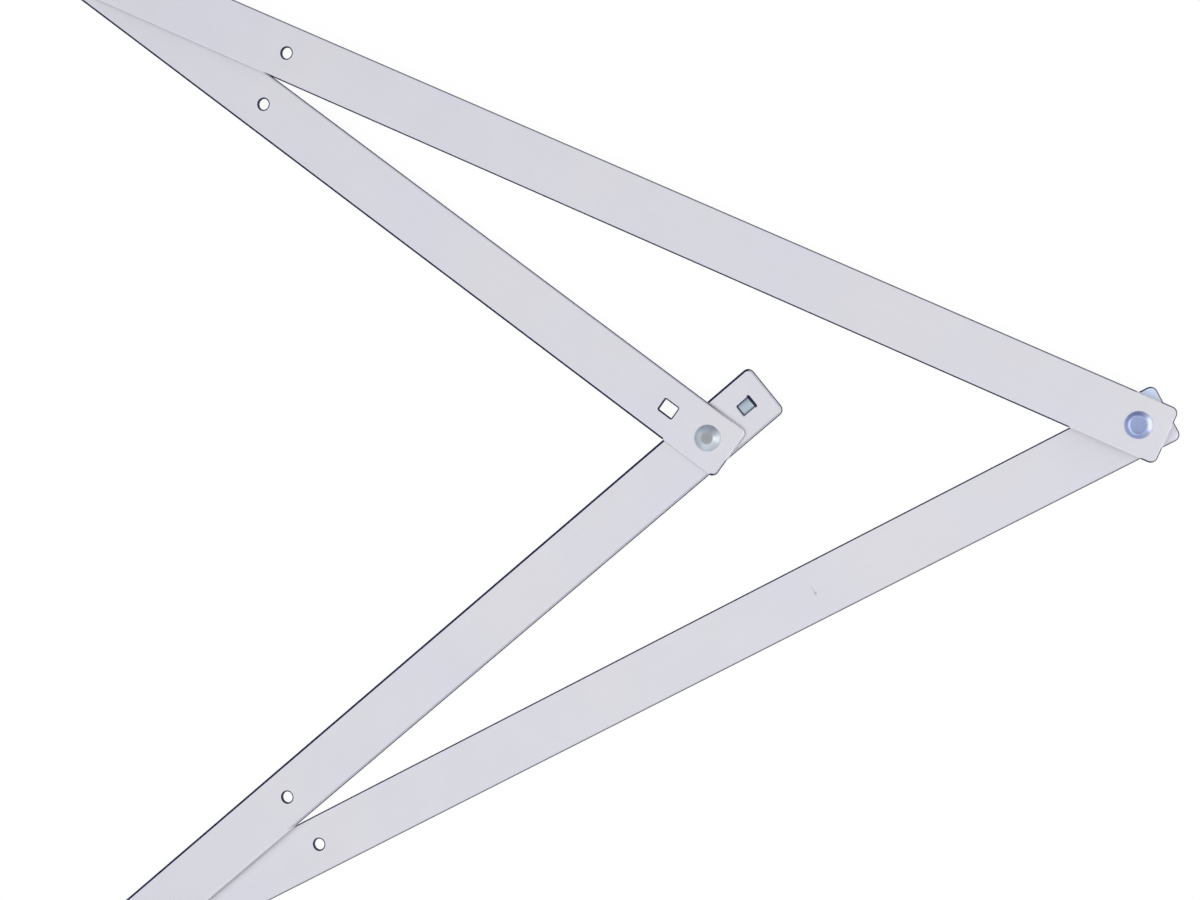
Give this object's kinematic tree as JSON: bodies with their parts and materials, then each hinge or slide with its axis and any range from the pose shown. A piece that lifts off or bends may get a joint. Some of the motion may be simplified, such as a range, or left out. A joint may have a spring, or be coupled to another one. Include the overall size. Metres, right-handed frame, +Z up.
{
  "type": "folding builders square",
  "caption": "Folding right-angle square: flat bar legs riveted at the corner, with a hinged brace that locks straight on a spring catch and folds flat between them.",
  "frame": {"origin": "bottom centre of the square's box, as it lies flat in the stored pose", "axes": "+Z up, out of the front faces; +X along the middle line of the legs towards the apex; +Y towards the upper leg"},
  "size_m": [0.5494, 0.53, 0.0133],
  "materials": {
    "bar_aluminium": "satin, finely drawn",
    "rivet_steel": "bright zinc plate",
    "washer_steel": "zinc plate",
    "washer_nylon": "natural nylon",
    "spring_steel": "blued spring strip",
    "button_steel": "pressed and tumbled"
  },
  "bodies": {
    "lower_leg": {"lower_leg": "bar_aluminium"},
    "apex_pivot": {"apex_rivet": "rivet_steel", "apex_spacer": "washer_steel", "apex_tail_washer": "washer_steel"},
    "upper_leg": {"upper_leg": "bar_aluminium", "upper_rivet": "rivet_steel", "upper_washer": "washer_nylon"},
    "lower_pivot": {"lower_rivet": "rivet_steel", "lower_washer": "washer_nylon", "lower_tail_washer": "washer_steel"},
    "tab_brace": {"tab_brace": "bar_aluminium", "catch_leaf": "spring_steel"},
    "centre_pivot": {"centre_rivet": "rivet_steel", "centre_washer": "washer_nylon"},
    "plain_brace": {"plain_brace": "bar_aluminium", "upper_rivet_tail": "rivet_steel"},
    "catch": {"catch_button": "button_steel"}
  },
  "joints": [
    {"name": "apex_unfold", "type": "hinge", "parent": "lower_leg", "child": "apex_pivot", "pos_m": [0.25906, 0, 0.00175], "axis": [0, 0, -1], "range_deg": [0, 38.6]},
    {"name": "apex_fold", "type": "hinge", "parent": "apex_pivot", "child": "upper_leg", "pos_m": [0.25906, 0, 0.0102], "axis": [0, 0, -1], "range_deg": [-51.4, 0]},
    {"name": "lower_unfold", "type": "hinge", "parent": "lower_leg", "child": "lower_pivot", "pos_m": [-0.22527, -0.23309, 0.00175], "axis": [0, 0, 1], "range_deg": [0, 32.87]},
    {"name": "lower_fold", "type": "hinge", "parent": "lower_pivot", "child": "tab_brace", "pos_m": [-0.22527, -0.23309, 0.00505], "axis": [0, 0, 1], "range_deg": [-12.13, 0]},
    {"name": "centre_unfold", "type": "hinge", "parent": "tab_brace", "child": "centre_pivot", "pos_m": [0.07493, 0, 0.00505], "axis": [0, 0, -1], "range_deg": [0, 104.35]},
    {"name": "centre_fold", "type": "hinge", "parent": "centre_pivot", "child": "plain_brace", "pos_m": [0.07493, 0, 0.00695], "axis": [0, 0, -1], "range_deg": [-75.66, 0]},
    {"name": "catch_press", "type": "slide", "parent": "tab_brace", "child": "catch", "axis": [0, 0, 1], "range_m": [-0.0004, 0.0008], "stiffness_N_per_m": 1500, "deforming": ["catch_leaf"]}
  ],
  "couplings": [
    {"joint": "lower_unfold", "follows": "apex_unfold", "ratio": 0.85162},
    {"joint": "centre_unfold", "follows": "apex_unfold", "ratio": 2.7032},
    {"joint": "lower_fold", "follows": "apex_fold", "ratio": 0.23594},
    {"joint": "centre_fold", "follows": "apex_fold", "ratio": 1.4719}
  ]
}
